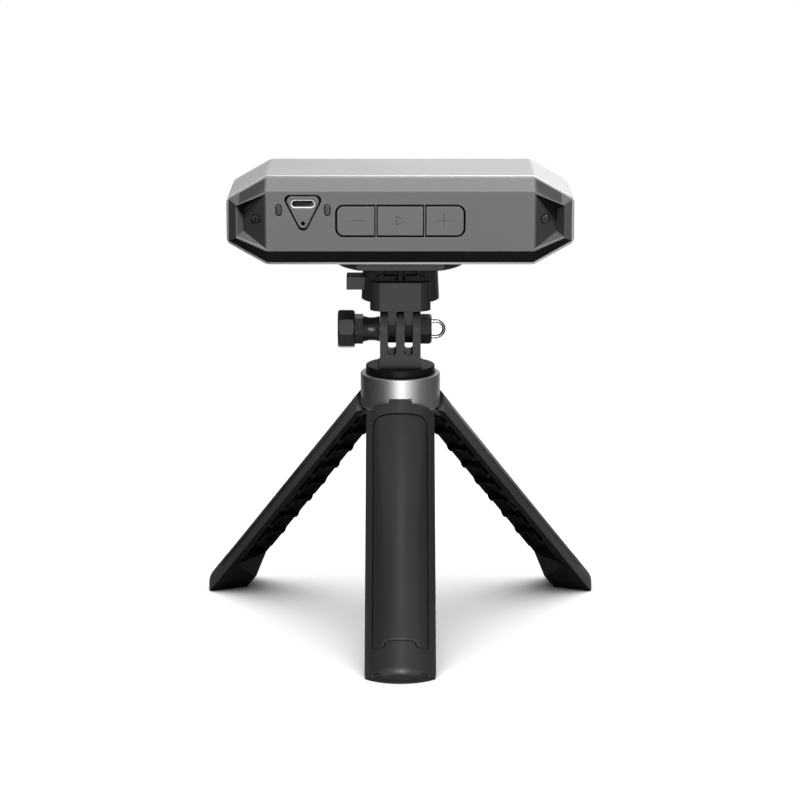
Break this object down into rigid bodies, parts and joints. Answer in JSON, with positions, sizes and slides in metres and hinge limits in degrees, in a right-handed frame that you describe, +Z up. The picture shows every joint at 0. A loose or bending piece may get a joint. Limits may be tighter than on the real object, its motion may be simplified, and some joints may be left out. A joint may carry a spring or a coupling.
{
  "type": "three-d scanner",
  "caption": "Hand-held 3-D scanner with keys and USB port on its rear face, on a folding mini tripod with quick-release, tilt joint and turning head.",
  "frame": {"origin": "on the table, at the middle of the box round the open tripod's footprint", "axes": "+Z up along the tripod's axis, -Y towards the front leg and the scanner's keys, +X to the right seen from the keys"},
  "size_m": [0.1492, 0.1334, 0.1702],
  "materials": {
    "silver_band": "satin silver, fine bead-blast grain",
    "cover_grey": "fine matt texture",
    "key_grey": "fine matt texture with engraved marks",
    "steel": "plain machined steel",
    "switch_black": "moulded black plastic",
    "board_green": "solder resist over laminate",
    "light_lens": "smoked light guide",
    "flex_amber": "flat film cable",
    "alloy": "as cast alloy",
    "optics_black": "matt black barrels",
    "lens_glass": "coated lens glass",
    "fill_white": "white light diffuser",
    "bezel_black": "gloss black frame",
    "window_glass": "dark tinted window",
    "brass": "threaded insert",
    "mount_grey": "fine matt moulded texture",
    "pad_rubber": "thin grip pad",
    "knob_black": "semi-gloss black",
    "polished_steel": "polished wire",
    "washer_white": "low-friction washer",
    "collar_silver": "satin metallic silver",
    "hub_black": "moulded black plastic",
    "leg_grey": "matt moulded plastic",
    "grip_grey": "soft-touch panel",
    "sole_rubber": "moulded rubber sole"
  },
  "bodies": {
    "tripod_head": {"collar": "collar_silver", "hub": "hub_black", "hinge_pins": "steel"},
    "front_leg": {"leg_front": "leg_grey", "grip_front": "grip_grey", "sole_front": "sole_rubber"},
    "right_leg": {"leg_right": "leg_grey", "grip_right": "grip_grey", "sole_right": "sole_rubber"},
    "left_leg": {"leg_left": "leg_grey", "grip_left": "grip_grey", "sole_left": "sole_rubber"},
    "turning_head": {"turning_post": "mount_grey", "turning_screw": "steel", "friction_washer": "washer_white", "cap_nut": "knob_black", "tether_loop": "polished_steel"},
    "thumb_screw": {"clamp_knob": "knob_black", "clamp_bolt": "steel"},
    "tilting_mount": {"release_cup": "mount_grey", "latch_spring": "steel"},
    "latch": {"release_latch": "mount_grey"},
    "scanner": {"band_shell": "silver_band", "rear_cover": "cover_grey", "cover_screws": "steel", "key_switches": "switch_black", "port_board": "board_green", "port_shell": "steel", "port_tongue": "switch_black", "status_lights": "light_lens", "flex_cable": "flex_amber", "main_board": "board_green", "board_screws": "steel", "heat_sink": "alloy", "chassis": "alloy", "left_camera": "optics_black", "right_camera": "optics_black", "colour_camera": "optics_black", "projector": "optics_black", "lens_glass": "lens_glass", "fill_lights": "fill_white", "front_bezel": "bezel_black", "front_glass": "window_glass", "tripod_bush": "brass", "release_plate": "mount_grey", "plate_pad": "pad_rubber", "plate_screw": "steel"},
    "minus_key": {"key_minus": "key_grey"},
    "play_key": {"key_play": "key_grey"},
    "plus_key": {"key_plus": "key_grey"}
  },
  "joints": [
    {"name": "front_leg_fold", "type": "hinge", "parent": "tripod_head", "child": "front_leg", "pos_m": [0, 0.00767, 0.085], "axis": [-1, 0, 0], "range_deg": [-40, 0]},
    {"name": "right_leg_fold", "type": "hinge", "parent": "tripod_head", "child": "right_leg", "pos_m": [0.00779, 0.02117, 0.085], "axis": [0.5, -0.866, 0], "range_deg": [-40, 0]},
    {"name": "left_leg_fold", "type": "hinge", "parent": "tripod_head", "child": "left_leg", "pos_m": [-0.00779, 0.02117, 0.085], "axis": [0.5, 0.866, 0], "range_deg": [-40, 0]},
    {"name": "pan_turn", "type": "hinge", "parent": "tripod_head", "child": "turning_head", "pos_m": [0, 0.01667, 0.0939], "axis": [0, 0, 1], "continuous": true},
    {"name": "knob_turn", "type": "hinge", "parent": "turning_head", "child": "thumb_screw", "pos_m": [0, 0.01667, 0.1101], "axis": [1, 0, 0], "continuous": true},
    {"name": "tilt", "type": "hinge", "parent": "turning_head", "child": "tilting_mount", "pos_m": [0, 0.01667, 0.1101], "axis": [1, 0, 0], "range_deg": [-80, 80]},
    {"name": "latch_press", "type": "slide", "parent": "tilting_mount", "child": "latch", "axis": [1, 0, 0], "range_m": [0, 0.0012], "stiffness_N_per_m": 800, "springref_m": -0.002, "deforming": ["latch_spring"]},
    {"name": "plate_slide", "type": "slide", "parent": "tilting_mount", "child": "scanner", "axis": [0, -1, 0], "range_m": [0, 0.026]},
    {"name": "minus_press", "type": "slide", "parent": "scanner", "child": "minus_key", "axis": [0, 1, 0], "range_m": [0, 0.0006], "stiffness_N_per_m": 1500, "springref_m": -0.0006},
    {"name": "play_press", "type": "slide", "parent": "scanner", "child": "play_key", "axis": [0, 1, 0], "range_m": [0, 0.0006], "stiffness_N_per_m": 1500, "springref_m": -0.0006},
    {"name": "plus_press", "type": "slide", "parent": "scanner", "child": "plus_key", "axis": [0, 1, 0], "range_m": [0, 0.0006], "stiffness_N_per_m": 1500, "springref_m": -0.0006}
  ]
}
